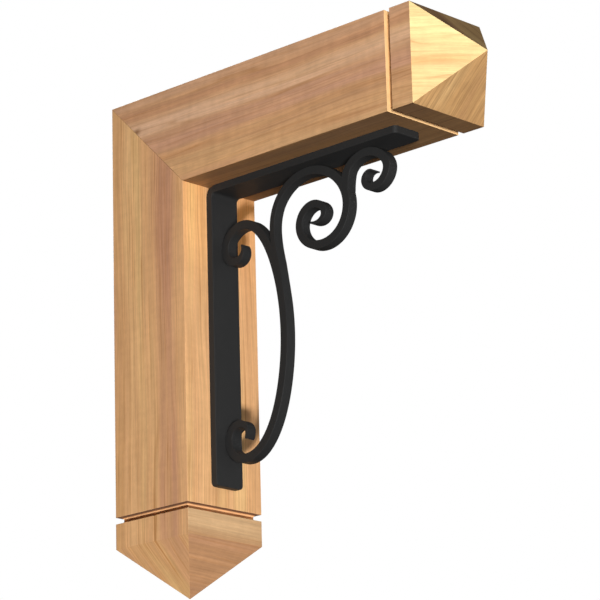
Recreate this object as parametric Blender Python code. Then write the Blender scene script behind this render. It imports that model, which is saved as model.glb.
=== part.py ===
"""Wooden corbel bracket: two mitred cedar timbers with a forged iron scroll brace.

Metres, +Z up. X runs across the bracket, the wall is the plane Y = 0, and the bracket
reaches out from it towards -Y. The origin lies on the post's back face, halfway between
its top and its saw kerf. A side elevation point is written (out, height): out is the
distance from the wall, and height is measured from the top of the arm, so it is negative.
"""

import math

import bmesh
import bpy
import numpy as np
from mathutils import Vector

# Timbers: one square section, a saw kerf all round and a pyramid end
TIMBER_SIDE = 0.140
ARM_TO_KERF = 0.518
POST_TO_KERF = 0.588
KERF_WIDTH = 0.009
KERF_DEPTH = 0.008
END_BLOCK = 0.035
PYRAMID_HEIGHT = 0.070

# Fit: what touches keeps this gap
GAP = 0.0003

# Angle strap: a flat bar bent once, under the arm and down the post's front
STRAP_WIDTH = 0.050
STRAP_THICK = 0.010
STRAP_ARM_END = 0.491
STRAP_POST_END = 0.562
STRAP_BEND_RADIUS = 0.0055
STRAP_BEND_STEPS = 8
STRAP_CORNER_RADIUS = 0.006
STRAP_CORNER_STEPS = 3

# Scroll bars: flat bar on edge, as wide as this across the bracket
SCROLL_WIDTH = 0.016
STATION_TURN = 7.5
STATION_RUN = 0.015
CUTTER_OVERHANG = 0.004

# Each scroll starts at a point in the side elevation with a heading in degrees, from
# outwards (0) towards upwards (90), and turns left (+1) or right (-1). A bend is
# (degrees turned, radius at its end), and the radius changes evenly along it.
# Thickness is given at the degrees turned since the start.
C_SCROLL = {
    "start": (0.1884, -0.5020),
    "heading": 62.1,
    "turns": 1,
    "first_radius": 0.023,
    "bends": (
        (45, 0.0110),
        (75, 0.0175),
        (90, 0.0230),
        (90, 0.0380),
        (30, 0.0470),
        (30, 0.1200),
        (20, 0.3300),
        (20, 0.3200),
        (20, 0.1050),
        (30, 0.0330),
        (45, 0.0380),
        (75, 0.0210),
        (75, 0.0180),
        (60, 0.0130),
        (73, 0.0145),
    ),
    "thickness": (
        (0, 0.0020),
        (45, 0.0060),
        (120, 0.0110),
        (210, 0.0125),
        (570, 0.0125),
        (645, 0.0115),
        (705, 0.0080),
        (745, 0.0045),
        (778, 0.0020),
    ),
}
LARGE_SCROLL = {
    "start": (0.2605, -0.2910),
    "heading": 108.0,
    "turns": -1,
    "first_radius": 0.370,
    "bends": (
        (18, 0.0800),
        (30, 0.0540),
        (45, 0.0750),
        (45, 0.0750),
        (45, 0.0500),
        (45, 0.0460),
        (60, 0.0480),
        (90, 0.0250),
        (90, 0.0260),
        (90, 0.0085),
        (60, 0.0140),
        (50, 0.0290),
    ),
    "thickness": (
        (0, 0.0040),
        (5, 0.0085),
        (48, 0.0085),
        (93, 0.0110),
        (138, 0.0125),
        (228, 0.0120),
        (378, 0.0120),
        (468, 0.0110),
        (558, 0.0095),
        (618, 0.0065),
        (668, 0.0030),
    ),
}
SMALL_SCROLL = {
    "start": (0.3847, -0.1993),
    "heading": 88.5,
    "turns": -1,
    "first_radius": 0.190,
    "bends": (
        (11, 0.0320),
        (26, 0.0165),
        (35, 0.0470),
        (45, 0.0420),
        (50, 0.0150),
        (50, 0.0260),
        (50, 0.0245),
        (45, 0.0125),
        (45, 0.0105),
        (60, 0.0110),
        (62, 0.0100),
    ),
    "thickness": (
        (0, 0.0085),
        (11, 0.0090),
        (37, 0.0100),
        (72, 0.0115),
        (177, 0.0120),
        (267, 0.0110),
        (357, 0.0080),
        (417, 0.0045),
        (479, 0.0020),
    ),
}

# Finishes: colour as linear red, green and blue, roughness, metallic
CEDAR = ("cedar", (0.56, 0.32, 0.16), 0.55, 0.0)
IRON = ("satin_black_iron", (0.020, 0.020, 0.022), 0.45, 0.0)


def clear_scene():
    """Remove whatever the scene holds."""
    for item in list(bpy.data.objects):
        bpy.data.objects.remove(item, do_unlink=True)


def make_material(name, colour, roughness, metallic):
    """A Principled material with one plain colour."""
    material = bpy.data.materials.new(name)
    material.use_nodes = True
    shader = material.node_tree.nodes["Principled BSDF"]
    shader.inputs["Base Color"].default_value = (*colour, 1.0)
    shader.inputs["Roughness"].default_value = roughness
    shader.inputs["Metallic"].default_value = metallic
    material.diffuse_color = (*colour, 1.0)
    return material


def add_object(name, bm, material, parent, location=(0, 0, 0), rotation=(0, 0, 0)):
    """Turn a bmesh into a named object under a parent, with its faces pointing out."""
    bmesh.ops.recalc_face_normals(bm, faces=bm.faces)
    mesh = bpy.data.meshes.new(name)
    bm.to_mesh(mesh)
    bm.free()
    mesh.materials.append(material)
    item = bpy.data.objects.new(name, mesh)
    bpy.context.scene.collection.objects.link(item)
    item.parent = parent
    item.location = location
    item.rotation_euler = rotation
    return item


def new_verts(extruded):
    """The vertices that an extrude operator has just made."""
    return [part for part in extruded["geom"] if isinstance(part, bmesh.types.BMVert)]


def timber(name, to_kerf, material, parent, location, rotation):
    """A square timber along its own +Z: mitred at the start, pointed at the end.

    Its mitre's long edge is on the +Y side, which is the outside of the bracket's corner.
    """
    kerf_side = TIMBER_SIDE - 2 * KERF_DEPTH
    # Each row is the run along the timber and the side of the square at its end.
    rows = (
        (to_kerf, TIMBER_SIDE),
        (0, kerf_side),
        (KERF_WIDTH, kerf_side),
        (0, TIMBER_SIDE),
        (END_BLOCK, TIMBER_SIDE),
        (PYRAMID_HEIGHT, 0),
    )
    bm = bmesh.new()
    bmesh.ops.create_grid(bm, x_segments=1, y_segments=1, size=TIMBER_SIDE / 2)
    end = bm.faces[:] + bm.edges[:] + bm.verts[:]
    side = TIMBER_SIDE
    for run, next_side in rows:
        extruded = bmesh.ops.extrude_face_region(bm, geom=end)
        end = extruded["geom"]
        corners = new_verts(extruded)
        bmesh.ops.scale(bm, verts=corners, vec=(next_side / side, next_side / side, 1))
        bmesh.ops.translate(bm, verts=corners, vec=(0, 0, run))
        side = next_side
    bmesh.ops.remove_doubles(bm, verts=corners, dist=GAP)

    across_mitre = Vector((0, 1, 1)).normalized()
    cut = bmesh.ops.bisect_plane(
        bm,
        geom=bm.verts[:] + bm.edges[:] + bm.faces[:],
        plane_co=Vector((0, TIMBER_SIDE / 2, 0)) + across_mitre * GAP / 2,
        plane_no=across_mitre,
        clear_inner=True,
    )
    rim = [part for part in cut["geom_cut"] if isinstance(part, bmesh.types.BMEdge)]
    bmesh.ops.contextual_create(bm, geom=rim)
    return add_object(name, bm, material, parent, location, rotation)


def angle_strap(name, material, parent):
    """The flat bar that runs up the post's front, round one bend and out under the arm."""
    near = TIMBER_SIDE + GAP
    far = near + STRAP_THICK
    centre = far + STRAP_BEND_RADIUS
    left = -STRAP_WIDTH / 2
    bm = bmesh.new()
    foot = [bm.verts.new((left, -out, -STRAP_POST_END)) for out in (near, far)]
    edge = bm.edges.new(foot)

    post_leg = bmesh.ops.extrude_edge_only(bm, edges=[edge])
    rise = STRAP_POST_END - centre
    bmesh.ops.translate(bm, verts=new_verts(post_leg), vec=(0, 0, rise))
    top = [part for part in post_leg["geom"] if isinstance(part, bmesh.types.BMEdge)]
    top = [part for part in top if abs(part.verts[0].co.z - part.verts[1].co.z) < GAP]
    bend = bmesh.ops.spin(
        bm,
        geom=top,
        cent=(left, -centre, -centre),
        axis=(1, 0, 0),
        angle=math.radians(90),
        steps=STRAP_BEND_STEPS,
    )
    last = [part for part in bend["geom_last"] if isinstance(part, bmesh.types.BMEdge)]
    arm_leg = bmesh.ops.extrude_edge_only(bm, edges=last)
    bmesh.ops.translate(
        bm, verts=new_verts(arm_leg), vec=(0, centre - STRAP_ARM_END, 0)
    )

    extruded = bmesh.ops.extrude_face_region(bm, geom=bm.faces[:])
    bmesh.ops.translate(bm, verts=new_verts(extruded), vec=(STRAP_WIDTH, 0, 0))
    corners = [part for part in bm.edges if is_strap_corner(part)]
    bmesh.ops.bevel(
        bm,
        geom=corners,
        affect="EDGES",
        offset=STRAP_CORNER_RADIUS,
        segments=STRAP_CORNER_STEPS,
        profile=0.5,
        material=-1,
    )
    return smooth(add_object(name, bm, material, parent))


def is_strap_corner(edge):
    """True for the four edges through the strap's thickness at its two ends."""
    first, second = (vert.co for vert in edge.verts)
    through = first - second
    at_foot = max(first.z, second.z) < -STRAP_POST_END + GAP
    at_end = max(first.y, second.y) < -STRAP_ARM_END + GAP
    return abs(through.x) < GAP and (at_foot or at_end)


def scroll_stations(scroll):
    """Points along a scroll, each (out, height, heading in radians, thickness).

    Where the radius r is r0 + k * a after a turn of a, the point on the path is the
    integral of r * (cos, sin) of the heading, which path_term gives in closed form.
    """
    side = scroll["turns"]
    start = np.array(scroll["start"])
    radius = scroll["first_radius"]
    turned = 0.0
    stations = []
    for turn, next_radius in scroll["bends"]:
        length = math.radians(turn) * (radius + next_radius) / 2
        steps = math.ceil(max(turn / STATION_TURN, length / STATION_RUN))
        rate = (next_radius - radius) / math.radians(turn)
        for step in range(steps + 1):
            part = turn * step / steps
            heading = math.radians(scroll["heading"] + side * (turned + part))
            here = radius + (next_radius - radius) * step / steps
            term = path_term(heading, here, rate, side)
            if step == 0:
                first_term = term
                if stations:
                    continue
            out, height = start + term - first_term
            stations.append((out, height, heading, thickness(scroll, turned + part)))
        start = start + term - first_term
        radius = next_radius
        turned += turn
    return stations


def path_term(heading, radius, rate, side):
    """The running integral of the path, up to a constant."""
    across = np.array((math.sin(heading), -math.cos(heading)))
    along = np.array((math.cos(heading), math.sin(heading)))
    return side * radius * across + rate * along


def thickness(scroll, turned):
    """The bar's thickness at these degrees turned."""
    at, thick = zip(*scroll["thickness"])
    return float(np.interp(turned, at, thick))


def scroll_bar(name, scroll, material, parent, thicker=0.0, wider=0.0):
    """A flat bar on edge that follows a scroll's path and thins towards its tips."""
    half_width = SCROLL_WIDTH / 2 + wider
    bm = bmesh.new()
    pair = None
    for out, height, heading, thick in scroll_stations(scroll):
        half = thick / 2 + thicker
        offset = Vector((0, half * math.sin(heading), half * math.cos(heading)))
        middle = Vector((-half_width, -out, height))
        if pair is None:
            pair = [bm.verts.new(middle + offset), bm.verts.new(middle - offset)]
            bm.edges.new(pair)
            continue
        grown = bmesh.ops.extrude_edge_only(bm, edges=[bm.edges.get(pair)])
        # The new vertices still lie on the old ones, so each one's side is known.
        old = pair[0].co.copy()
        pair = sorted(new_verts(grown), key=lambda vert: (vert.co - old).length)
        pair[0].co = middle + offset
        pair[1].co = middle - offset
    extruded = bmesh.ops.extrude_face_region(bm, geom=bm.faces[:])
    bmesh.ops.translate(bm, verts=new_verts(extruded), vec=(2 * half_width, 0, 0))
    return smooth(add_object(name, bm, material, parent))


def smooth(item, angle=30):
    """Shade the round stretches smooth and keep the arrises sharp."""
    item.data.shade_smooth()
    item.data.set_sharp_from_angle(angle=math.radians(angle))
    return item


def scarf(branch, parent_scroll, material, parent):
    """Thin a branch's root against the bar that it is welded to, so the two lie flush."""
    cutter = scroll_bar(
        branch.name + "_seat",
        parent_scroll,
        material,
        parent,
        thicker=GAP,
        wider=CUTTER_OVERHANG,
    )
    cutter.hide_render = True
    cutter.display_type = "WIRE"
    cut = branch.modifiers.new("scarf", "BOOLEAN")
    cut.operation = "DIFFERENCE"
    cut.solver = "EXACT"
    cut.object = cutter


def main():
    clear_scene()
    cedar = make_material(*CEDAR)
    iron = make_material(*IRON)

    # The empty stands at the top of the wall face, where heights are measured from.
    top = bpy.data.objects.new("bracket_top", None)
    bpy.context.scene.collection.objects.link(top)
    top.location = (0, 0, POST_TO_KERF / 2)

    half = TIMBER_SIDE / 2
    down = (0, math.radians(180), 0)
    outwards = (math.radians(90), 0, 0)
    timber("timber_post", POST_TO_KERF, cedar, top, (0, -half, 0), down)
    timber("timber_arm", ARM_TO_KERF, cedar, top, (0, 0, -half), outwards)

    angle_strap("iron_angle_strap", iron, top)
    scroll_bar("iron_c_scroll", C_SCROLL, iron, top)
    large = scroll_bar("iron_large_scroll", LARGE_SCROLL, iron, top)
    scarf(large, C_SCROLL, iron, top)
    small = scroll_bar("iron_small_scroll", SMALL_SCROLL, iron, top)
    scarf(small, LARGE_SCROLL, iron, top)


main()
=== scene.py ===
"""Looks of a cedar corbel bracket with a forged iron scroll brace.

Metres, +Z up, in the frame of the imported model: the wall is the plane Y = 0, the arm
reaches out along -Y and X = 0 is the plane of symmetry. A point in the side elevation is
written (out, height): out is the distance from the wall, and height is measured from the
top of the arm, so it is negative.
"""

import logging
import math
from dataclasses import dataclass
from enum import Enum
from functools import partial

import bmesh
import bpy
from bmesh.types import BMEdge, BMesh, BMVert
from bpy.types import Material, NodeSocket, Object
from mathutils import Euler, Matrix, Vector


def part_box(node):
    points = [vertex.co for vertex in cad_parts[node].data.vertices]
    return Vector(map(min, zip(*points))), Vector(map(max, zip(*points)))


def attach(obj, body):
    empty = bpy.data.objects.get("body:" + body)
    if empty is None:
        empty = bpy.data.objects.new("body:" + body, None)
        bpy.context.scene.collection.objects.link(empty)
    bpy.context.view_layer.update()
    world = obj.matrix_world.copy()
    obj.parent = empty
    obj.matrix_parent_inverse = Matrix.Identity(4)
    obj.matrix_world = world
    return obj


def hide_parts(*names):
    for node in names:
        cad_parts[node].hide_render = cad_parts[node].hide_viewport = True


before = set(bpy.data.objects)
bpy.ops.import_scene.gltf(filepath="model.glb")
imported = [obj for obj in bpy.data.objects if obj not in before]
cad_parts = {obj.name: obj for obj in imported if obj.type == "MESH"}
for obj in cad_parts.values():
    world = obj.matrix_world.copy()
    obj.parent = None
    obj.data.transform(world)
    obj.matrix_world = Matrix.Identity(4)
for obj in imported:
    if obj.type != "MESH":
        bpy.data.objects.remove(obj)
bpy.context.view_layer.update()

log = logging.getLogger("corbel_bracket")

MM = 0.001
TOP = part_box("timber_arm")[1].z

# The point on the bracket that the camera and most lights face
MIDDLE = (0.0, -0.28867, -0.03543)

# A wall-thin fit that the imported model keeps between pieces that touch
GAP = 0.3 * MM

# Edges that turn further than this many degrees are arrises. The steps of an eased arris
# turn 30 and stay smooth, and a little further where a scroll thins out.
ARRIS_TURN = 35.0
IRON_ARRIS_TURN = 40.0

# Nearly all of a noise texture's values lie between these two
NOISE_SPAN = (0.3, 0.7)

Colour = tuple[float, float, float, float]
Point = tuple[float, float, float]
Stops = tuple[tuple[float, Colour], ...]
Toned = tuple[tuple[float, str], ...]
Pairs = tuple[tuple[float, float], ...]


class Turn(Enum):
    """Which way a scroll winds, seen with the wall on the left."""

    LEFT = 1
    RIGHT = -1


class Grain(Enum):
    """Which way the wood's grain runs, as the rotation that lays it along the pattern's Z."""

    UP = (0.0, 0.0, 0.0)
    OUT = (math.radians(-90.0), 0.0, 0.0)
    ACROSS = (0.0, math.radians(-90.0), 0.0)


def linear(hex_colour: str) -> Colour:
    """Turn an sRGB hex colour into the linear colour a shader socket takes.

    Args:
        hex_colour: Six hex digits, with or without a leading hash.

    Returns:
        Red, green, blue and an alpha of one.
    """
    digits = hex_colour.lstrip("#")
    channels = []
    for start in (0, 2, 4):
        value = int(digits[start : start + 2], 16) / 255
        low = value <= 0.04045
        channels.append(value / 12.92 if low else ((value + 0.055) / 1.055) ** 2.4)
    return (*channels, 1.0)


def fill(node: bpy.types.Node, inputs: dict | tuple) -> None:
    """Give a node's inputs their values, or link them to other nodes' outputs.

    Args:
        node: The node.
        inputs: Values or output sockets, in the order of the node's inputs or by their
            names or numbers.
    """
    pairs = inputs.items() if isinstance(inputs, dict) else enumerate(inputs)
    for key, value in pairs:
        if isinstance(value, NodeSocket):
            node.id_data.links.new(value, node.inputs[key])
        else:
            node.inputs[key].default_value = value


def add_node(
    tree: bpy.types.NodeTree,
    kind: str,
    inputs: dict | tuple = (),
    stops: Stops = (),
    **settings: object,
) -> bpy.types.NodeOutputs:
    """Add a shader node with its settings and links.

    Args:
        tree: The material's or the world's node tree.
        kind: The node's type without its ShaderNode prefix.
        inputs: Values or output sockets, as fill takes them.
        stops: Position and linear colour of each of a colour ramp's stops, in order.
        **settings: Properties of the node itself.

    Returns:
        The new node's outputs.
    """
    made = tree.nodes.new("ShaderNode" + kind)
    for name, value in settings.items():
        setattr(made, name, value)
    fill(made, inputs)
    if stops:
        elements = made.color_ramp.elements
        while len(elements) < len(stops):
            elements.new(1.0)
        for element, (position, colour) in zip(elements, stops):
            element.position = position
            element.color = colour
    return made.outputs


def new_material(name: str) -> tuple[Material, bpy.types.Node]:
    """Start a material.

    Args:
        name: The finish's name.

    Returns:
        The material and its shader.
    """
    made = bpy.data.materials.new(name)
    made.use_nodes = True
    return made, made.node_tree.nodes["Principled BSDF"]


@dataclass(frozen=True)
class Streak:
    """Noise drawn out along the grain: its size in millimetres and how much it shades."""

    across: float
    along: float
    depth: float
    octaves: float
    low: float
    high: float


@dataclass(frozen=True)
class GrowthLines:
    """Thin dark lines: their spacing in millimetres, how far they stray, their strength.

    Growth rings 2 to 4 mm wide stand 5 to 18 mm apart on a face that cuts them at a slant.
    """

    spacing: float
    stray: float
    strength: float


@dataclass(frozen=True)
class Knot:
    """A pin knot: its place across, into and along the timber, and its radius, in mm."""

    place: Point
    radius: float


@dataclass(frozen=True)
class Band:
    """A broad soft band of another tone: its place across the timber and half its width,
    in millimetres, its hex colour and how much of that is taken."""

    place: float
    half_width: float
    colour: str
    share: float = 0.8


@dataclass
class WoodPattern:
    """A wood's tones and masks, on coordinates in millimetres: across the face's grain,
    into the face and along the grain, which sways by (size across, size along, reach)."""

    tree: bpy.types.NodeTree
    grain: Grain
    shift: Point
    sways: tuple[Point, ...] = ((85.0, 300.0, 20.0), (22.0, 90.0, 2.6))

    def __post_init__(self) -> None:
        """Lay out the coordinates.

        A face that looks along the pattern's X has its lines spread over Y, and every
        other face, one that looks both ways alike too, has them spread over X, so no face
        shows broad blotches.
        """
        self.add = add = partial(add_node, self.tree)
        seen = add("TexCoord")
        turned = {"Rotation": self.grain.value}
        self.laid = {"Vector": seen["Object"], "Scale": (1 / MM, 1 / MM, 1 / MM), **turned}
        laid = add("Mapping", {**self.laid, "Location": self.shift})[0]
        normal = add("Mapping", {"Vector": seen["Normal"], **turned})[0]
        facing = add("SeparateXYZ", (add("VectorMath", (normal,), operation="ABSOLUTE")[0],))
        over = add("Math", (facing[0], facing[1]), operation="SUBTRACT")[0]
        alike = 0.1
        side_face = add("Math", (over, alike), operation="GREATER_THAN")[0]
        parts = add("SeparateXYZ", (laid,))
        swapped = add("CombineXYZ", (parts[1], parts[0], parts[2]))[0]
        self.place = add("Mix", {0: side_face, 4: laid, 5: swapped}, data_type="VECTOR")[1]
        for across, along, reach in self.sways:
            sway = self.noise(across, along, depth=200.0, octaves=1.0)
            centred = add("Math", (sway, 0.5), operation="SUBTRACT")[0]
            pushed = add("Math", (centred, reach), operation="MULTIPLY")[0]
            moved = add("CombineXYZ", (pushed,))[0]
            self.place = add("VectorMath", (self.place, moved), operation="ADD")[0]
        self.across = add("SeparateXYZ", (self.place,))[0]

    def noise(
        self, across: float, along: float, depth: float, octaves: float = 2.0
    ) -> NodeSocket:
        """Noise drawn out along the grain.

        Args:
            across: Its size across the grain, in millimetres.
            along: Its size along the grain.
            depth: Its size into the face.
            octaves: The noise's octaves.

        Returns:
            The noise, from 0 to 1.
        """
        scale = (1 / across, 1 / depth, 1 / along)
        drawn = self.add("VectorMath", (self.place, scale), operation="MULTIPLY")[0]
        fields = {"Vector": drawn, "Scale": 1.0, "Detail": octaves}
        return self.add("TexNoise", fields)["Fac"]

    def tone(self, middle: float, lean: float) -> NodeSocket:
        """The wood's slow change of tone, from straw (low) to rose (high).

        Args:
            middle: The place across the timber on either side of which the tone leans.
            lean: How far it leans at the timber's edges.

        Returns:
            The tone, from 0 to 1.
        """
        noise = self.noise(across=38.0, along=640.0, depth=150.0)
        centre, reach = middle + self.shift[1], 70.0
        ends = (centre - reach, centre + reach)
        leaning = self.add("MapRange", (self.across, *ends, -lean, lean))[0]
        return self.add("Math", (noise, leaning), operation="ADD")[0]

    def stripe(self, band: Band) -> NodeSocket:
        """One band's mask, which comes and goes a little along the grain.

        Args:
            band: The band.

        Returns:
            How much of the band's colour is taken.
        """
        centre = band.place + self.shift[1]
        away = self.add("Math", (self.across, centre), operation="SUBTRACT")[0]
        apart = self.add("Math", (away,), operation="ABSOLUTE")[0]
        core = band.half_width * 0.3
        inside = self.add(
            "MapRange",
            (apart, core, band.half_width, band.share, 0.0),
            interpolation_type="SMOOTHSTEP",
        )[0]
        wear = self.noise(band.half_width * 0.9, along=240.0, depth=90.0)
        worn, whole, faintest = 0.35, 0.6, 0.45
        shown = self.add("MapRange", (wear, worn, whole, faintest, 1.0))[0]
        return self.add("Math", (inside, shown), operation="MULTIPLY")[0]

    def growth(self, lines: GrowthLines) -> NodeSocket:
        """Growth lines, some of which close into long ovals and some of which fade out.

        Args:
            lines: Their spacing and strength.

        Returns:
            How dark the latewood is, from 0 to 1.
        """
        figure = self.noise(lines.spacing * 1.8, along=430.0, depth=140.0)
        rank = self.add("Math", (self.across, 1 / lines.spacing), operation="MULTIPLY")[0]
        turned = self.add("Math", (figure, lines.stray, rank), operation="MULTIPLY_ADD")[0]
        phase = self.add("Math", (turned,), operation="FRACT")[0]
        # A line darkens slowly through its latewood and ends at once.
        darkness = ((0.0, 0.0), (0.50, 0.0), (0.80, 0.35), (0.90, 1.0), (1.0, 0.0))
        stops = tuple((place, (dark, dark, dark, 1.0)) for place, dark in darkness)
        line = self.add("ValToRGB", (phase,), stops)[0]
        patches = self.noise(lines.spacing * 1.7, along=210.0, depth=90.0)
        gone, whole, faintest = 0.45, 0.63, 0.06
        shown = self.add("MapRange", (patches, gone, whole, faintest, lines.strength))[0]
        return self.add("Math", (line, shown), operation="MULTIPLY")[0]

    def spot(self, knot: Knot) -> NodeSocket:
        """A pin knot's mask, drawn out a little along the grain.

        Args:
            knot: The knot.

        Returns:
            Strongest at its heart, and zero at its rim.
        """
        drawn_out, heart = (1.0, 1.0, 0.6), 0.75
        laid = self.add("Mapping", self.laid)[0]
        apart = self.add("VectorMath", (laid, knot.place), operation="SUBTRACT")[0]
        drawn = self.add("VectorMath", (apart, drawn_out), operation="MULTIPLY")[0]
        away = self.add("VectorMath", (drawn,), operation="LENGTH")["Value"]
        return self.add(
            "MapRange", (away, 0.0, knot.radius, heart, 0.0), interpolation_type="SMOOTHSTEP"
        )[0]

    def tinted(self, colour: NodeSocket, masks: list[tuple[NodeSocket, str]]) -> NodeSocket:
        """Lay tints over a colour, one after another.

        Args:
            colour: The colour so far.
            masks: How much of each tint is taken, and its hex colour.

        Returns:
            The tinted colour.
        """
        for share, tint in masks:
            parts = {0: share, 6: colour, 7: linear(tint)}
            colour = self.add("Mix", parts, data_type="RGBA")[2]
        return colour

    def streaked(self, colour: NodeSocket, streaks: tuple[Streak, ...]) -> NodeSocket:
        """Lighten and darken a colour in streaks.

        Args:
            colour: The colour so far.
            streaks: The streaks' sizes and strengths.

        Returns:
            The shaded colour.
        """
        for streak in streaks:
            source = self.noise(streak.across, streak.along, streak.depth, streak.octaves)
            level = self.add("MapRange", (source, *NOISE_SPAN, streak.low, streak.high))[0]
            colour = self.add("VectorMath", {0: colour, 3: level}, operation="SCALE")[0]
        return colour


@dataclass(frozen=True)
class Cedar:
    """Planed red cedar, bare: straw, tan and rose bands with thin dark growth lines.

    The eye gets long soft bands, a few thin dark lines that close into long ovals, and
    fine fibre. Every face shows the lines along its own length, as rift-sawn faces do.
    Lengths are in millimetres. The lean makes one edge of a face more straw-coloured and
    the other rosier, on either side of the middle. Bands are placed in the same measure
    as the middle.
    """

    name: str
    grain: Grain
    shift: Point
    middle: float = 0.0
    lean: float = 0.0
    bands: tuple[Band, ...] = ()
    tan: str = "D6A272"
    straw: str = "D9AE77"
    rose: str = "C29272"
    latewood: str = "A06A34"
    knot_colour: str = "7E5632"
    lines: tuple[GrowthLines, ...] = (
        GrowthLines(13, 4, 0.36),
        GrowthLines(5, 3.2, 0.76),
    )
    roughness: float = 0.58
    specular: float = 0.35
    streaks: tuple[Streak, ...] = (
        # across, along, depth, octaves, low, high
        Streak(10, 420, 90, 2, 0.93, 1.06),
        Streak(2, 150, 60, 3, 0.88, 1.11),
        Streak(1.5, 8, 5, 2, 0.955, 1.04),
        Streak(22, 9, 40, 2, 0.96, 1.025),
        Streak(20, 60, 60, 2, 0.96, 1.035),
        Streak(6, 44, 40, 1, 0.95, 1.025),
    )
    knots: tuple[Knot, ...] = ()
    # Cedar's fibres are some 0.03 mm thick. They are drawn 1.2 mm across, about a pixel
    # of the render, which is as coarse as they need to show.
    fibre: float = 1.2
    fibre_relief: float = 0.15

    def material(self) -> Material:
        """Build the wood's material.

        Returns:
            A material that reads Object coordinates.
        """
        made, shader = new_material(self.name)
        pattern = WoodPattern(made.node_tree, self.grain, self.shift)
        tones = ((0.33, self.straw), (0.47, self.tan), (0.53, self.tan), (0.68, self.rose))
        stops = tuple((place, linear(tone)) for place, tone in tones)
        tone = pattern.tone(self.middle, self.lean)
        colour = pattern.add("ValToRGB", (tone,), stops)[0]
        bands = [(pattern.stripe(band), band.colour) for band in self.bands]
        lines = [(pattern.growth(each), self.latewood) for each in self.lines]
        knots = [(pattern.spot(knot), self.knot_colour) for knot in self.knots]
        colour = pattern.tinted(colour, bands)
        colour = pattern.streaked(colour, self.streaks)
        colour = pattern.tinted(colour, lines + knots)

        # The finest growth lines stand a little lower than the wood between them.
        fibre = pattern.noise(self.fibre, along=60.0, depth=20.0)
        relief = pattern.add("Math", (fibre, lines[-1][0]), operation="SUBTRACT")[0]
        depth = self.fibre_relief * MM
        bump = pattern.add("Bump", {"Strength": 0.3, "Distance": depth, "Height": relief})[0]
        fill(shader, {"Base Color": colour, "Normal": bump, "Roughness": self.roughness})
        fill(shader, {"Specular IOR Level": self.specular})
        return made


@dataclass(frozen=True)
class SawnCedar:
    """Saw-cut cedar in a kerf: more orange than a planed face and dull. Its bands hold painted
    shade in the kerf's corners and painted light on walls that lie in shadow.

    The bands run round the timber: each is (share of the kerf's width, hex colour), from
    the wall next to the long part of the timber. The surface is cloudy, and a fine saw's
    marks, some 0.5 mm apart, are drawn 1.6 mm apart, as coarse as they need to show.
    """

    name: str
    grain: Grain
    start: float
    width: float
    bands: Toned
    roughness: float = 0.85
    tooth_marks: float = 1.6
    tooth_depth: float = 0.15
    clouds_per_metre: float = 60.0
    cloud_shades: tuple[float, float] = (0.88, 1.08)

    def material(self) -> Material:
        """Build the saw-cut wood's material.

        Returns:
            A material that reads Object coordinates.
        """
        made, shader = new_material(self.name)
        add = partial(add_node, made.node_tree)
        where = add("TexCoord")["Object"]
        laid = add("Mapping", {"Vector": where, "Rotation": self.grain.value})[0]
        along = add("SeparateXYZ", (laid,))[2]
        share = add("MapRange", (along, self.start, self.start + self.width))[0]
        stops = tuple((place, linear(colour)) for place, colour in self.bands)
        ramp = add("ValToRGB", (share,), stops)[0]
        clouds = {"Vector": where, "Scale": self.clouds_per_metre, "Detail": 2.0}
        cloud = add("TexNoise", clouds)["Fac"]
        level = add("MapRange", (cloud, *NOISE_SPAN, *self.cloud_shades))[0]
        colour = add("VectorMath", {0: ramp, 3: level}, operation="SCALE")[0]
        teeth = {"Vector": where, "Scale": 1 / (self.tooth_marks * MM), "Detail": 2.0}
        marks = add("TexNoise", teeth)["Fac"]
        depth = self.tooth_depth * MM
        bump = add("Bump", {"Strength": 0.4, "Distance": depth, "Height": marks})[0]
        fill(shader, {"Base Color": colour, "Normal": bump, "Roughness": self.roughness})
        return made


@dataclass(frozen=True)
class SatinIron:
    """Forged mild steel under a satin black coating: near black, with a soft broad gloss.

    The bar's hammering shows through the coating as slow dents. The coating itself has a
    fine orange peel, some 0.5 mm across, drawn at 1.5 mm, as coarse as it needs to show.
    Lengths are in millimetres.
    """

    name: str = "satin_black_coated_iron"
    colour: str = "282828"
    roughness: float = 0.52
    gloss_change: float = 0.06
    specular: float = 0.16
    peel: float = 1.5
    peel_depth: float = 0.04
    dents: float = 22.0
    dent_depth: float = 0.6

    def material(self) -> Material:
        """Build the coated iron's material.

        Returns:
            A material that reads Object coordinates.
        """
        made, shader = new_material(self.name)
        add = partial(add_node, made.node_tree)
        where = add("TexCoord")["Object"]
        scale = 1 / (self.peel * MM)
        peel = add("TexNoise", {"Vector": where, "Scale": scale, "Detail": 1.0})["Fac"]
        scale = 1 / (self.dents * MM)
        dents = add("TexNoise", {"Vector": where, "Scale": scale, "Detail": 2.0})["Fac"]
        depth = self.dent_depth * MM
        hammered = add("Bump", {"Strength": 0.5, "Distance": depth, "Height": dents})[0]
        depth = self.peel_depth * MM
        skin = {"Strength": 0.25, "Distance": depth, "Height": peel, "Normal": hammered}
        coated = add("Bump", skin)[0]
        span = (self.roughness - self.gloss_change, self.roughness + self.gloss_change)
        gloss = add("MapRange", (dents, 0.0, 1.0, *span))[0]
        fill(shader, {"Normal": coated, "Roughness": gloss, "Base Color": linear(self.colour)})
        fill(shader, {"Specular IOR Level": self.specular})
        return made


def of_kind(parts: list, kind: type) -> list:
    """The vertices or the edges among the parts that an operator gives."""
    return [part for part in parts if isinstance(part, kind)]


def ease(bm: BMesh, parts: list, reach: float, steps: int = 3, affect: str = "EDGES") -> None:
    """Round edges or corners.

    Args:
        bm: The mesh.
        parts: The edges or the vertices to round.
        reach: How far the rounding reaches.
        steps: The rounding's segments.
        affect: EDGES or VERTICES.
    """
    bmesh.ops.bevel(
        bm, geom=parts, affect=affect, offset=reach, segments=steps, profile=0.5, material=-1
    )


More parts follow.
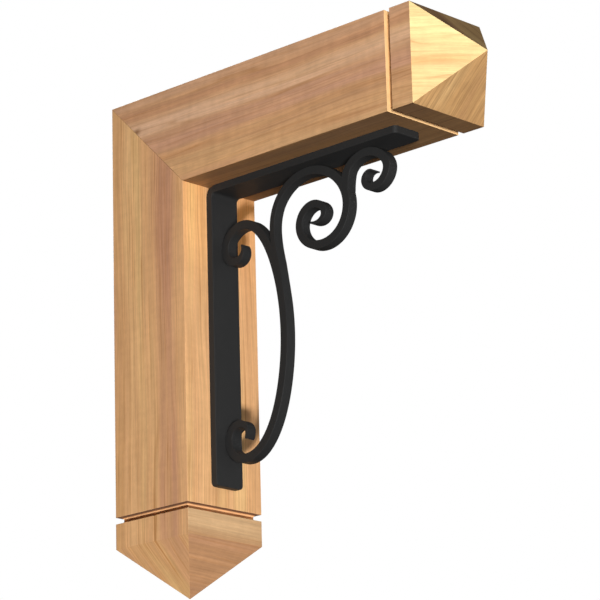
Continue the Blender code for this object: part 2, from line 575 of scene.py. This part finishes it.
def finish_piece(
    name: str,
    bm: BMesh,
    materials: list[Material],
    nodes: tuple[str, ...],
    arris_turn: float = ARRIS_TURN,
) -> Object:
    """Turn a bmesh in its final place into a piece that rides on the bracket.

    Args:
        name: The piece's name.
        bm: The mesh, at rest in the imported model's frame. It is freed.
        materials: The piece's material slots, in order.
        nodes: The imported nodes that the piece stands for.
        arris_turn: Edges that turn further than this many degrees stay sharp.

    Returns:
        The finished object.
    """
    bmesh.ops.recalc_face_normals(bm, faces=bm.faces)
    mesh = bpy.data.meshes.new(name)
    bm.to_mesh(mesh)
    bm.free()
    for material in materials:
        mesh.materials.append(material)
    mesh.shade_smooth()
    mesh.set_sharp_from_angle(angle=math.radians(arris_turn))
    piece = bpy.data.objects.new(name, mesh)
    bpy.context.scene.collection.objects.link(piece)
    # Flat faces keep their own normal right up to the eased edges beside them.
    weighted = piece.modifiers.new("flat_faces", "WEIGHTED_NORMAL")
    weighted.keep_sharp = True
    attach(piece, "root")
    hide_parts(*nodes)
    return piece


@dataclass(frozen=True)
class Patch:
    """Faces whose wood differs: they look one way, within some degrees, and most of them
    lie past the kerf's start."""

    wood: Cedar
    facing: tuple[int, int, int]
    within: float = 10.0
    past_kerf: bool = True


@dataclass
class Timber:
    """A square timber: mitred at one end, with a kerf, a block and a pyramid at the other.

    It is built along its own +Z with the mitre's long edge on +Y, then laid in place.
    """

    name: str
    node: str
    length: float
    lay: Matrix
    side: float = 140 * MM
    pyramid: float = 70 * MM
    block: float = 35 * MM
    kerf_width: float = 9 * MM
    kerf_depth: float = 8 * MM
    kerf_nose_steps: int = 8
    arris: float = 0.6 * MM
    fine_arris: float = 0.2 * MM

    def build(self, wood: Cedar, sawn: SawnCedar, patches: tuple[Patch, ...]) -> Object:
        """Build the timber and dress it.

        Args:
            wood: The planed faces' finish.
            sawn: The kerf's finish.
            patches: Faces whose wood differs from the rest.

        Returns:
            The finished piece.
        """
        bm = self._blank()
        bmesh.ops.transform(bm, matrix=self.lay, verts=bm.verts)
        bmesh.ops.recalc_face_normals(bm, faces=bm.faces)
        self._mark_faces(bm, patches)
        self._ease_arrises(bm)
        finishes = [wood, sawn] + [patch.wood for patch in patches]
        materials = [finish.material() for finish in finishes]
        return finish_piece(self.name, bm, materials, (self.node,))

    @property
    def kerf_start(self) -> float:
        """How far along the timber its kerf starts."""
        return self.length - self.pyramid - self.block - self.kerf_width

    def _in_kerf(self, along: float) -> bool:
        """Whether a place along the timber lies within its kerf or on its lips."""
        return self.kerf_start - GAP < along < self.kerf_start + self.kerf_width + GAP

    def _blank(self) -> BMesh:
        """The timber with its point, its kerf, whose bottom is a half round, and its mitre.

        Returns:
            A closed bmesh.
        """
        rows = [(self.kerf_start, self.side)]
        nose = self.kerf_width / 2
        wall_side = self.side - 2 * (self.kerf_depth - nose)
        here = 0.0
        for step in range(self.kerf_nose_steps + 1):
            angle = math.pi * step / self.kerf_nose_steps
            run = nose * (1 - math.cos(angle))
            rows.append((run - here, wall_side - 2 * nose * math.sin(angle)))
            here = run
        rows += [(0.0, self.side), (self.block, self.side), (self.pyramid, 0.0)]
        bm = bmesh.new()
        bmesh.ops.create_grid(bm, x_segments=1, y_segments=1, size=self.side / 2)
        end = bm.faces[:] + bm.edges[:] + bm.verts[:]
        side = self.side
        corners: list[BMVert] = []
        for run, next_side in rows:
            end = bmesh.ops.extrude_face_region(bm, geom=end)["geom"]
            corners = of_kind(end, BMVert)
            squeeze = next_side / side
            bmesh.ops.scale(bm, verts=corners, vec=(squeeze, squeeze, 1.0))
            bmesh.ops.translate(bm, verts=corners, vec=(0.0, 0.0, run))
            side = next_side
        bmesh.ops.remove_doubles(bm, verts=corners, dist=GAP)
        # The mitre lies half a gap clear of the other timber.
        across = Vector((0.0, 1.0, 1.0)).normalized()
        cut = bmesh.ops.bisect_plane(
            bm,
            geom=bm.verts[:] + bm.edges[:] + bm.faces[:],
            plane_co=Vector((0.0, self.side / 2, 0.0)) + across * GAP / 2,
            plane_no=across,
            clear_inner=True,
        )
        bmesh.ops.contextual_create(bm, geom=of_kind(cut["geom_cut"], BMEdge))
        return bm

    def _mark_faces(self, bm: BMesh, patches: tuple[Patch, ...]) -> None:
        """Give the kerf and the patched faces their material.

        Args:
            bm: The timber's mesh, laid in place.
            patches: Faces whose wood differs.
        """
        back = self.lay.inverted()
        for face in bm.faces:
            along = (back @ face.calc_center_median()).z
            if self._in_kerf(along):
                face.material_index = 1
                continue
            for index, patch in enumerate(patches, start=2):
                turned = face.normal.angle(Vector(patch.facing))
                start = self.kerf_start if patch.past_kerf else 0.0
                if turned < math.radians(patch.within) and along > start:
                    face.material_index = index

    def _ease_arrises(self, bm: BMesh) -> None:
        """Ease every outer arris except those along the mitre, the finest least.

        Args:
            bm: The timber's mesh, laid in place.
        """
        for fine, reach in ((False, self.arris), (True, self.fine_arris)):
            arrises = [
                edge
                for edge in bm.edges
                if edge.is_convex
                and edge.calc_face_angle(0.0) > math.radians(ARRIS_TURN)
                and self._is_fine(edge) == fine
                and not self._on_mitre(edge)
            ]
            ease(bm, arrises, reach)

    def _is_fine(self, edge: BMEdge) -> bool:
        """Whether an edge was left almost sharp by the saw.

        Args:
            edge: An edge of the timber, laid in place.

        Returns:
            True for the edges of the kerf's two lips and the pyramid's.
        """
        back = self.lay.inverted()
        first, second = ((back @ vert.co).z for vert in edge.verts)
        on_lip = self._in_kerf(first) and abs(first - second) < GAP
        return on_lip or min(first, second) > self.length - self.pyramid - GAP

    def _on_mitre(self, edge: BMEdge) -> bool:
        """Whether an edge of the timber, laid in place, lies in the mitre's plane."""
        return all(abs(vert.co.y - vert.co.z + TOP) < 2 * GAP for vert in edge.verts)


@dataclass
class AngleStrap:
    """Flat bar bent once, down the post's front and out under the arm."""

    name: str = "angle_strap"
    node: str = "iron_angle_strap"
    width: float = 50 * MM
    thick: float = 10 * MM
    bend_radius: float = 5.5 * MM
    corner_radius: float = 6 * MM
    corner_steps: int = 6
    eased: float = 0.8 * MM
    bend_steps: int = 16

    def build(self, iron: Material) -> Object:
        """Build the strap and dress it.

        Args:
            iron: The coated iron.

        Returns:
            The finished piece.
        """
        low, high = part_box(self.node)
        near = -high.y
        far = near + self.thick
        centre = far + self.bend_radius
        bm = bmesh.new()
        foot = [bm.verts.new((low.x, -out, low.z)) for out in (near, far)]
        edge = bm.edges.new(foot)
        # Heights in the model count from the origin, and the bend's from the arm's top.
        bend_height = TOP - centre
        post_leg = bmesh.ops.extrude_edge_only(bm, edges=[edge])["geom"]
        rise = (0.0, 0.0, bend_height - low.z)
        bmesh.ops.translate(bm, verts=of_kind(post_leg, BMVert), vec=rise)
        top = [
            edge
            for edge in of_kind(post_leg, BMEdge)
            if all(vert.co.z > bend_height - GAP for vert in edge.verts)
        ]
        bend = bmesh.ops.spin(
            bm,
            geom=top,
            cent=(low.x, -centre, bend_height),
            axis=(1.0, 0.0, 0.0),
            angle=math.radians(90.0),
            steps=self.bend_steps,
        )
        last = of_kind(bend["geom_last"], BMEdge)
        arm_leg = of_kind(bmesh.ops.extrude_edge_only(bm, edges=last)["geom"], BMVert)
        bmesh.ops.translate(bm, verts=arm_leg, vec=(0.0, low.y + centre, 0.0))
        bar = bmesh.ops.extrude_face_region(bm, geom=bm.faces[:])["geom"]
        bmesh.ops.translate(bm, verts=of_kind(bar, BMVert), vec=(self.width, 0.0, 0.0))
        bmesh.ops.recalc_face_normals(bm, faces=bm.faces)
        corners = [edge for edge in bm.edges if self._at_end(edge, low)]
        ease(bm, corners, self.corner_radius, self.corner_steps)
        arrises = [
            edge
            for edge in bm.edges
            if edge.calc_face_angle(0.0) > math.radians(IRON_ARRIS_TURN)
            and not self._on_wood(edge, near)
        ]
        ease(bm, arrises, self.eased)
        return finish_piece(self.name, bm, [iron], (self.node,))

    def _at_end(self, edge: BMEdge, low: Vector) -> bool:
        """Whether an edge runs through the bar's thickness at one of its ends.

        Args:
            edge: An edge of the strap.
            low: The strap's lowest corner.

        Returns:
            True for the four such edges.
        """
        first, second = (vert.co for vert in edge.verts)
        at_foot = max(first.z, second.z) < low.z + GAP
        at_tip = max(first.y, second.y) < low.y + GAP
        return abs(first.x - second.x) < GAP and (at_foot or at_tip)

    def _on_wood(self, edge: BMEdge, near: float) -> bool:
        """Whether an edge belongs to the strap's back, which starts near the wall."""
        backs = (min(-vert.co.y - near, TOP - near - vert.co.z) for vert in edge.verts)
        return all(back < GAP for back in backs)


@dataclass(frozen=True)
class ScrollBar:
    """A flat bar on edge, drawn along a spiral path and thinned towards its tips.

    The path starts with a heading in degrees, from outwards (0) towards upwards (90). A
    bend is (degrees turned, radius at its end), and the radius changes evenly along it.
    Thickness is given at the degrees turned since the start. A branch has a straight lead
    before its start, which sinks into the bar it is welded to. Lengths are in millimetres.
    """

    name: str
    node: str
    start: tuple[float, float]
    heading: float
    turn: Turn
    first_radius: float
    bends: Pairs
    thickness: Pairs
    lead: float = 0.0
    lead_thickness: float = 0.0
    width: float = 16.0
    eased: float = 0.5
    step_turn: float = 4.0
    step_run: float = 5.0

    def build(self, iron: Material) -> Object:
        """Build the bar and dress it.

        Args:
            iron: The coated iron.

        Returns:
            The finished piece.
        """
        placed, *rest = self._stations()
        bm = self._profile()
        end = bm.faces[:] + bm.edges[:] + bm.verts[:]
        bmesh.ops.transform(bm, matrix=placed, verts=bm.verts)
        for following in rest:
            end = bmesh.ops.extrude_face_region(bm, geom=end)["geom"]
            step = following @ placed.inverted()
            bmesh.ops.transform(bm, matrix=step, verts=of_kind(end, BMVert))
            placed = following
        nodes = (self.node,)
        return finish_piece(self.name, bm, [iron], nodes, IRON_ARRIS_TURN)

    def _stations(self) -> list[Matrix]:
        """The places of the cross-sections along the path.

        Where the radius r is r0 + k * a after a turn of a, the path is the integral of
        r * (cos, sin) of the heading, which has a closed form.

        Returns:
            The profile's matrix at each, from the root to the tip.
        """
        start = Vector(self.start)
        radius = self.first_radius
        turned = 0.0
        found = self._lead_stations()
        for turn, next_radius in self.bends:
            length = math.radians(turn) * (radius + next_radius) / 2
            steps = math.ceil(max(turn / self.step_turn, length / self.step_run))
            rate = (next_radius - radius) / math.radians(turn)
            first = self._term(turned, radius, rate)
            for step in range(1, steps + 1):
                share = step / steps
                here = turned + turn * share
                term = self._term(here, radius + (next_radius - radius) * share, rate)
                heading = self.heading + self.turn.value * here
                found.append(self._placed(*(start + term - first), heading, self._thick(here)))
            start = start + self._term(turned + turn, next_radius, rate) - first
            radius = next_radius
            turned += turn
        return found

    def _lead_stations(self) -> list[Matrix]:
        """The places of the straight lead's cross-sections, up to the path's start.

        Returns:
            The profile's matrix at each.
        """
        angle = math.radians(self.heading)
        steps = math.ceil(self.lead / self.step_run)
        root = self.thickness[0][1]
        found = []
        for step in range(steps, -1, -1):
            share = step / steps if steps else 0.0
            out = self.start[0] - math.cos(angle) * self.lead * share
            height = self.start[1] - math.sin(angle) * self.lead * share
            thick = root + (self.lead_thickness - root) * share
            found.append(self._placed(out, height, self.heading, thick))
        return found

    def _term(self, turned: float, radius: float, rate: float) -> Vector:
        """The path's integral up to a constant.

        Args:
            turned: Degrees turned since the start.
            radius: The radius there.
            rate: How fast the radius changes, for each radian turned.

        Returns:
            An (out, height) vector.
        """
        side = self.turn.value
        angle = math.radians(self.heading + side * turned)
        across = Vector((math.sin(angle), -math.cos(angle)))
        along = Vector((math.cos(angle), math.sin(angle)))
        return side * radius * across + rate * along

    def _thick(self, turned: float) -> float:
        """The bar's thickness after a turn.

        Args:
            turned: Degrees turned since the start.

        Returns:
            The thickness in millimetres.
        """
        for (low, thin), (high, thick) in zip(self.thickness, self.thickness[1:]):
            if turned <= high:
                return thin + (thick - thin) * (turned - low) / (high - low)
        return self.thickness[-1][1]

    @property
    def _full(self) -> float:
        """The bar's greatest thickness."""
        return max(thick for _, thick in self.thickness)

    def _profile(self) -> BMesh:
        """The bar's full cross-section with eased corners, in its own XY plane.

        Returns:
            A bmesh of one face, with the bar's width along X and its thickness along Y.
        """
        bm = bmesh.new()
        bmesh.ops.create_grid(bm, x_segments=1, y_segments=1, size=0.5)
        size = (self.width * MM, self._full * MM, 1.0)
        bmesh.ops.scale(bm, verts=bm.verts, vec=size)
        ease(bm, bm.verts[:], self.eased * MM, affect="VERTICES")
        return bm

    def _placed(self, out: float, height: float, heading: float, thick: float) -> Matrix:
        """Where the profile goes for one cross-section.

        Args:
            out: The cross-section's distance from the wall.
            height: Its height from the top of the arm.
            heading: The path's heading there, in degrees.
            thick: The bar's thickness there.

        Returns:
            A matrix from the profile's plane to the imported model's frame.
        """
        lean = math.radians(90.0) - math.radians(heading)
        turn = Euler((lean, 0.0, 0.0)).to_matrix()
        squeeze = Matrix.Diagonal((1.0, thick / self._full, 1.0, 1.0))
        point = Vector((0.0, -out * MM, TOP + height * MM))
        return Matrix.Translation(point) @ turn.to_4x4() @ squeeze


@dataclass
class ScrollBrace:
    """The three scrolls in the bracket's corner, each welded to the one before it."""

    long_scroll: ScrollBar = ScrollBar(
        name="c_scroll",
        node="iron_c_scroll",
        start=(188.4, -502.0), heading=62.1, turn=Turn.LEFT, first_radius=23.0,
        bends=(
            (45, 11), (75, 17.5), (90, 23), (90, 38), (30, 47), (30, 120),
            (20, 330), (20, 320), (20, 105), (30, 33), (45, 38), (75, 21),
            (75, 18), (60, 13), (73, 14.5),
        ),
        thickness=(
            (0, 2), (45, 6), (120, 11), (210, 12.5), (570, 12.5), (645, 11.5),
            (705, 8), (745, 4.5), (778, 2),
        ),
    )
    large_scroll: ScrollBar = ScrollBar(
        name="large_scroll",
        node="iron_large_scroll",
        start=(254.4, -269.8), heading=104.3, turn=Turn.RIGHT, first_radius=310.0,
        lead=40.5, lead_thickness=2.0,
        bends=(
            (14.3, 80), (30, 54), (45, 75), (45, 75), (45, 50), (45, 46),
            (60, 48), (90, 25), (90, 26), (90, 8.5), (60, 14), (50, 29),
        ),
        thickness=(
            (0, 8.5), (44, 8.5), (89, 11), (134, 12.5), (224, 12), (374, 12),
            (464, 11), (554, 9.5), (614, 6.5), (664, 3),
        ),
        width=15.9,
    )
    small_scroll: ScrollBar = ScrollBar(
        name="small_scroll",
        node="iron_small_scroll",
        start=(382.5, -199.3), heading=88.5, turn=Turn.RIGHT, first_radius=190.0,
        lead=16.0, lead_thickness=7.0,
        bends=(
            (11, 19.3), (26, 26.4), (35, 47), (45, 42), (50, 15), (50, 26),
            (50, 24.5), (45, 12.5), (45, 10.5), (60, 11), (62, 10),
        ),
        thickness=(
            (0, 12), (11, 13.4), (37, 11.8), (72, 11.5), (177, 12), (267, 11),
            (357, 8), (417, 4.5), (479, 2),
        ),
        width=15.8,
    )

    def build(self, iron: Material) -> list[Object]:
        """Build the three scrolls.

        Args:
            iron: The coated iron.

        Returns:
            The finished pieces.
        """
        bars = (self.long_scroll, self.large_scroll, self.small_scroll)
        return [bar.build(iron) for bar in bars]


@dataclass
class MitredTimbers:
    """The post and the arm, mitred together, and the woods they show."""

    post_wood: Cedar = Cedar(
        "red_cedar_post", Grain.UP, shift=(0, 0, 0),
        bands=(
            Band(-12, 14, "CC9B66", 0.6),
            Band(-36, 14, "DFAF7B", 0.6),
            Band(-106, 26, "BC886A", 0.85),
            Band(56, 24, "CE9B6B", 0.7),
        ),
        tan="DAA775", straw="DCB079", rose="CE9B70",
    )
    arm_wood: Cedar = Cedar(
        "red_cedar_arm", Grain.OUT, shift=(300, 40, 900),
        middle=224.0, lean=0.05,
        bands=(
            Band(289, 9, "D0A27F"),
            Band(272, 9, "BE8B67", 0.9),
            Band(250, 19, "DFB390", 0.9),
            Band(221, 19, "CA987A"),
            Band(196, 7, "C59062", 0.7),
            Band(174, 16, "D8A774", 0.6),
        ),
        tan="CF9D72", straw="D3A776", rose="C59472",
        lines=(GrowthLines(14, 3.2, 0.34), GrowthLines(6.5, 3.4, 0.40)),
        streaks=(
            # across, along, depth, octaves, low, high
            Streak(10, 420, 90, 2, 0.93, 1.06),
            Streak(2.4, 110, 60, 3, 0.90, 1.09),
            Streak(1.5, 8, 5, 2, 0.95, 1.04),
            Streak(26, 12, 40, 2, 0.94, 1.04),
            Streak(20, 60, 60, 2, 0.95, 1.045),
            Streak(7, 34, 40, 1, 0.94, 1.03),
        ),
        knots=(Knot(place=(-70.0, 247.0, 50.0), radius=8.0),),
    )
    # Painted shade: the arm's underside gets a darker wood that stands in for the shade under
    # it
    painted_shade_underside_cedar: Cedar = Cedar(
        "red_cedar_painted_shade_underside", Grain.OUT, shift=(640, 40, 400),
        tan="A97E53", straw="AF865A", rose="9D7652", latewood="603F27",
    )
    # Painted shade: the arm's lower end facet is a slightly darker copy of the arm's wood,
    # tempering how brightly it is lit
    painted_shade_lower_slope_cedar: Cedar = Cedar(
        "red_cedar_painted_shade_lower_slope", Grain.OUT, shift=(860, 40, 200),
        tan="C99B66", straw="D0A671", rose="BB8B60", latewood="764E2C",
        lines=(GrowthLines(13, 4, 0.36), GrowthLines(6, 4, 0.46)),
    )
    cross_wood: Cedar = Cedar(
        "red_cedar_cross_grain", Grain.ACROSS, shift=(400, 400, 300),
        bands=(Band(344, 18, "AE8158", 0.9),),
        tan="C19B71", straw="C5A076", rose="BB916B",
        lines=(GrowthLines(7.5, 3, 0.48),),
    )
    # Painted shade: the block's sloped front facet is a darker copy of the cross-grain wood
    block_painted_shade_slope_cedar: Cedar = Cedar(
        "red_cedar_cross_grain_painted_shade_slope", Grain.ACROSS, shift=(400, 400, 300),
        tan="A97D58", straw="AD845F", rose="A4795B",
        lines=(GrowthLines(7.5, 3, 0.48),),
    )
    # Painted shade: the post's end facets are a darker copy of the post's wood
    post_painted_shade_slopes_cedar: Cedar = Cedar(
        "red_cedar_post_painted_shade_slopes", Grain.UP, shift=(0, 0, 0),
        bands=(Band(-106, 26, "AC7C5F", 0.7),),
        tan="C09263", straw="C39A67", rose="B28661",
    )
    # Painted light: the arm's left end facet gets a pale yellow wood that stands in for the
    # strong light on it
    painted_light_left_slope_cedar: Cedar = Cedar(
        "red_cedar_painted_light_left_slope", Grain.OUT, shift=(300, 40, 900),
        middle=224.0, lean=-0.10,
        tan="E9C98B", straw="EDD494", rose="EBAF73", latewood="C98048",
        lines=(GrowthLines(18, 4.5, 0.5), GrowthLines(7, 4.5, 0.42)),
    )
    # Painted shade: the arm's top end facet gets a dark brown wood, with a darker band, that
    # stands in for the shade on it
    painted_shade_top_slope_cedar: Cedar = Cedar(
        "red_cedar_painted_shade_top_slope", Grain.OUT, shift=(500, 40, 900),
        bands=(Band(408, 48, "6B4E35", 0.8),),
        tan="8C7049", straw="9C8258", rose="7E5A42", latewood="3E2816",
        lines=(GrowthLines(16, 3, 0.55), GrowthLines(6, 3, 0.85)),
    )

    post_patches: tuple[Patch, ...] = (
        # The end facets, and the block's front and its facet, whose grain runs sideways. The
        # end facets and the block's facet are darker copies: painted shade.
        Patch(post_painted_shade_slopes_cedar, (0, 0, -1), within=50.0),
        Patch(cross_wood, (0, -1, 0)),
        Patch(block_painted_shade_slope_cedar, (0, -1, -1)),
    )
    arm_patches: tuple[Patch, ...] = (
        # Painted shade on the underside, and on the end facets painted shade below, painted
        # light on the left and painted shade on top
        Patch(painted_shade_underside_cedar, (0, 0, -1), past_kerf=False),
        Patch(painted_shade_lower_slope_cedar, (0, -1, -1)),
        Patch(painted_light_left_slope_cedar, (-1, -1, 0)),
        Patch(painted_shade_top_slope_cedar, (0, -1, 1)),
    )
    # The post's kerf has painted shade along its upper wall, and painted light below, where
    # the block's lip shades it. The arm's has painted light next to the arm and a painted
    # shadow of the block next to the block.
    post_kerf: Toned = (
        (0.0, "62402A"), (0.08, "6E4829"), (0.20, "DEA571"),
        (0.45, "DCA16C"), (0.70, "E6AE76"), (1.0, "FAD096"),
    )
    arm_kerf: Toned = (
        (0.0, "FFCE90"), (0.04, "F6BF7F"), (0.10, "BC8652"), (0.30, "8A5F38"),
    )

    def build(self) -> list[Object]:
        """Build the post and the arm.

        Returns:
            The finished pieces.
        """
        post_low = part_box("timber_post")[0]
        arm_low, arm_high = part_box("timber_arm")
        half = (arm_high.x - arm_low.x) / 2
        down = Matrix.Translation((0.0, -half, TOP)) @ Matrix.Rotation(math.pi, 4, "Y")
        level = Matrix.Translation((0.0, 0.0, TOP - half))
        outwards = level @ Matrix.Rotation(math.pi / 2, 4, "X")
        post = Timber("cedar_post", "timber_post", TOP - post_low.z, down)
        arm = Timber("cedar_arm", "timber_arm", -arm_low.y, outwards)
        start, width = TOP - post.kerf_start, -post.kerf_width
        post_sawn = SawnCedar("saw_cut_red_cedar_post", Grain.UP, start, width, self.post_kerf)
        start, width = arm.kerf_start, arm.kerf_width
        arm_sawn = SawnCedar("saw_cut_red_cedar_arm", Grain.OUT, start, width, self.arm_kerf)
        return [
            post.build(self.post_wood, post_sawn, self.post_patches),
            arm.build(self.arm_wood, arm_sawn, self.arm_patches),
        ]


def direction(azimuth: float, elevation: float) -> Vector:
    """The unit vector towards a compass point.

    Args:
        azimuth: Degrees: 0 is towards -Y and 90 towards +X.
        elevation: Degrees above the horizon.

    Returns:
        The vector from the bracket towards that point.
    """
    turn, rise = math.radians(azimuth), math.radians(elevation)
    level = math.cos(rise)
    return Vector((math.sin(turn) * level, -math.cos(turn) * level, math.sin(rise)))


@dataclass(frozen=True)
class SoftLight:
    """A square studio softbox that faces the bracket and is itself unseen.

    It may be kept out of the bracket's gloss. It may also reach a few pieces alone: no
    one light gives the arm's dusky underside, the curls' high shadows on the post and
    the iron's even black together, so each of them has its own. With a beam in degrees it
    is a spotlight whose light fades right from its middle, and its size is its radius.
    """

    name: str
    azimuth: float
    elevation: float
    distance: float
    size: float
    power: float
    mirrored: bool = True
    reaches: tuple[str, ...] = ()
    colour: str = "FFFFFF"
    beam: float = 0.0
    aim: Point = MIDDLE

    def build(self) -> None:
        """Place the light."""
        lamp = bpy.data.lights.new(self.name, "SPOT" if self.beam else "AREA")
        if self.beam:
            lamp.shadow_soft_size = self.size
            lamp.spot_size = math.radians(self.beam)
            lamp.spot_blend = 1.0
        else:
            lamp.size = self.size
        lamp.energy = self.power
        lamp.color = linear(self.colour)[:3]
        made = bpy.data.objects.new(self.name, lamp)
        made.visible_camera = False
        made.visible_glossy = self.mirrored
        bpy.context.scene.collection.objects.link(made)
        away = direction(self.azimuth, self.elevation)
        made.location = Vector(self.aim) + away * self.distance
        made.rotation_euler = (-away).to_track_quat("-Z", "Y").to_euler()
        if self.reaches:
            reached = bpy.data.collections.new(self.name + "_reaches")
            for name in self.reaches:
                reached.objects.link(bpy.data.objects[name])
            made.light_linking.receiver_collection = reached


@dataclass
class Studio:
    """The camera, the lights, a pale floor and a white surround."""

    azimuth: float = -46.668
    elevation: float = -16.109
    roll: float = -1.535
    distance: float = 4.0985
    lens: float = 184.17
    sensor: float = 36.0
    floor_height: float = -4.6
    floor_size: float = 160.0
    floor_colour: str = "E9E9E7"
    floor_roughness: float = 0.8
    floor_glow_colour: str = "F2F2F0"
    floor_glow: float = 0.72
    surround_fill: float = 0.035
    lights: tuple[SoftLight, ...] = (
        # azimuth, elevation, distance, size, power
        SoftLight("arm_light", -41, -10.5, 8, 2.1, 830, reaches=("cedar_arm",)),
        SoftLight("post_light", -43, -31, 8, 0.94, 960, reaches=("cedar_post",)),
        SoftLight(
            "iron_light", -42, -17, 3.4, 0.6, 160,
            reaches=("angle_strap", "c_scroll", "large_scroll", "small_scroll"),
        ),
        SoftLight("front_fill", -5, 2, 2.6, 1.2, 10),
        SoftLight("back_light", 165, 38, 3.6, 2, 150),
        SoftLight("far_light", 84, 17, 3.4, 1.6, 90, mirrored=False),
        # The warm glow that the two lit timbers throw on each other in the inner corner
        SoftLight(
            "corner_light", 3, -14, 2, 0.04, 46,
            reaches=("cedar_post",), colour="FFD250", beam=11.0, aim=(0.0, -0.14, 0.17),
        ),
    )

    def build(self) -> None:
        """Set up the whole studio."""
        self._camera()
        for light in self.lights:
            light.build()
        self._floor()
        self._surround()
        bpy.context.scene.view_settings.view_transform = "Standard"

    def _camera(self) -> None:
        """Place the camera at the viewing angle, rolled about its own axis."""
        data = bpy.data.cameras.new("camera")
        data.lens = self.lens
        data.sensor_width = self.sensor
        camera = bpy.data.objects.new("camera", data)
        bpy.context.scene.collection.objects.link(camera)
        back = direction(self.azimuth, self.elevation)
        level = (-back).to_track_quat("-Z", "Y").to_matrix().to_4x4()
        rolled = Matrix.Rotation(math.radians(self.roll), 4, "Z")
        place = Matrix.Translation(Vector(MIDDLE) + back * self.distance)
        camera.matrix_world = place @ level @ rolled
        bpy.context.scene.camera = camera

    def _floor(self) -> None:
        """Lay a plain pale floor far below the bracket, which hangs under eaves in use.

        It is lit evenly by a glow of its own and sends no light back up, so the bracket's
        underside stays as dusky as it should.
        """
        bm = bmesh.new()
        bmesh.ops.create_grid(bm, x_segments=1, y_segments=1, size=self.floor_size / 2)
        bmesh.ops.translate(bm, verts=bm.verts, vec=(0.0, 0.0, self.floor_height))
        mesh = bpy.data.meshes.new("floor")
        bm.to_mesh(mesh)
        bm.free()
        paint, shader = new_material("pale_floor_paint")
        fill(
            shader,
            {
                "Base Color": linear(self.floor_colour),
                "Roughness": self.floor_roughness,
                "Emission Color": linear(self.floor_glow_colour),
                "Emission Strength": self.floor_glow,
            },
        )
        mesh.materials.append(paint)
        floor = bpy.data.objects.new("floor", mesh)
        floor.visible_diffuse = False
        floor.visible_glossy = False
        bpy.context.scene.collection.objects.link(floor)

    def _surround(self) -> None:
        """White behind the bracket, and a dim even fill for everything else."""
        world = bpy.data.worlds.new("surround")
        world.use_nodes = True
        bpy.context.scene.world = world
        seen = add_node(world.node_tree, "LightPath")["Is Camera Ray"]
        span = {"Value": seen, "To Min": self.surround_fill, "To Max": 1.0}
        strength = add_node(world.node_tree, "MapRange", span)[0]
        background = world.node_tree.nodes["Background"]
        fill(background, {"Color": (1.0, 1.0, 1.0, 1.0), "Strength": strength})


def main() -> None:
    """Build the timbers, the ironwork and the studio in order, and report each piece."""
    logging.basicConfig(level=logging.INFO, format="%(name)s: %(message)s")
    pieces = MitredTimbers().build()
    iron = SatinIron().material()
    pieces += [AngleStrap().build(iron), *ScrollBrace().build(iron)]
    for piece in pieces:
        log.info("%s: %d faces", piece.name, len(piece.data.polygons))
    Studio().build()


if __name__ == "__main__":
    main()
